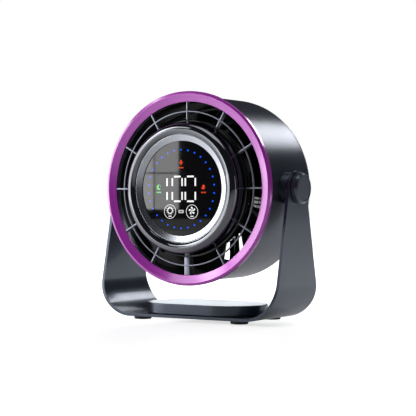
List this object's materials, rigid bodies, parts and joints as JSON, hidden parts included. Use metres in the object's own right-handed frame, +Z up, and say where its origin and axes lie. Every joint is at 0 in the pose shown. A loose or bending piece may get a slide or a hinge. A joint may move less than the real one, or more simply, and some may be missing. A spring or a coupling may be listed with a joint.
{
  "type": "desk air circulator fan",
  "caption": "Round-headed desk fan with a touch display hub, a magenta bezel, spoked grilles and a weighted U stand in which the head tilts.",
  "frame": {"origin": "middle of the footprint on the table, straight under the tilt axis", "axes": "+Z up, the display faces -Y, the tilt axis lies along X"},
  "size_m": [0.1816, 0.0877, 0.1857],
  "materials": {
    "graphite_metal": "satin graphite powder coat on metal",
    "graphite_shell": "satin graphite metallic paint on moulded plastic",
    "magenta": "magenta metallic, satin",
    "lilac_silver": "silver-lilac satin paint",
    "gloss_black": "piano black",
    "matt_black": "matt black",
    "brushed": "brushed and clear-coated",
    "display_glass": "black printed glass with lit marks",
    "white_mask": "matt white",
    "rubber": "matt black",
    "nylon": "matt black nylon",
    "steel": "plain",
    "brass": "turned",
    "ferrite": "sintered, dark grey",
    "board": "green solder mask",
    "cell_wrap": "blue shrink wrap",
    "slate": "satin slate"
  },
  "bodies": {
    "stand": {"stand_bracket": "graphite_metal", "base_weight": "graphite_metal", "base_screw_left": "steel", "base_screw_right": "steel", "foot_front_left": "rubber", "foot_front_right": "rubber", "foot_rear_left": "rubber", "foot_rear_right": "rubber", "pivot_bush_left": "nylon", "pivot_bush_right": "nylon", "friction_washer_left": "rubber", "friction_washer_right": "rubber"},
    "head": {"barrel_housing": "graphite_shell", "front_bezel": "magenta", "front_grille": "lilac_silver", "rear_grille": "gloss_black", "rear_cap": "matt_black", "control_board": "board", "charge_socket": "steel", "rear_screw_1": "steel", "rear_screw_2": "steel", "rear_screw_3": "steel", "rear_screw_4": "steel", "hub_shell": "gloss_black", "hub_cover": "matt_black", "hub_screw_1": "steel", "hub_screw_2": "steel", "hub_screw_3": "steel", "hub_screw_4": "steel", "display_ring": "brushed", "display_glass": "display_glass", "light_box": "white_mask", "display_board": "board", "battery_cell_upper": "cell_wrap", "battery_cell_lower": "cell_wrap", "ribbon_cable": "matt_black", "motor_base": "brushed", "bearing_front": "steel", "bearing_rear": "steel", "stator_core": "steel", "motor_board": "board", "motor_screw_1": "steel", "motor_screw_2": "steel", "motor_screw_3": "steel", "pivot_bolt_left": "steel", "pivot_bolt_right": "steel", "pivot_insert_left": "brass", "pivot_insert_right": "brass", "knob_left": "graphite_metal", "knob_right": "graphite_metal", "knob_disc_left": "slate", "knob_disc_right": "slate"},
    "rotor": {"impeller": "gloss_black", "rotor_can": "steel", "magnet_ring": "ferrite", "motor_shaft": "steel", "shaft_clip": "steel", "impeller_nut": "steel"}
  },
  "joints": [
    {"name": "head_tilt", "type": "hinge", "parent": "stand", "child": "head", "pos_m": [0, 0, 0.10726], "axis": [1, 0, 0], "range_deg": [-90, 90]},
    {"name": "fan_spin", "type": "hinge", "parent": "head", "child": "rotor", "pos_m": [0, 0, 0.10726], "axis": [0, 1, 0], "continuous": true}
  ]
}
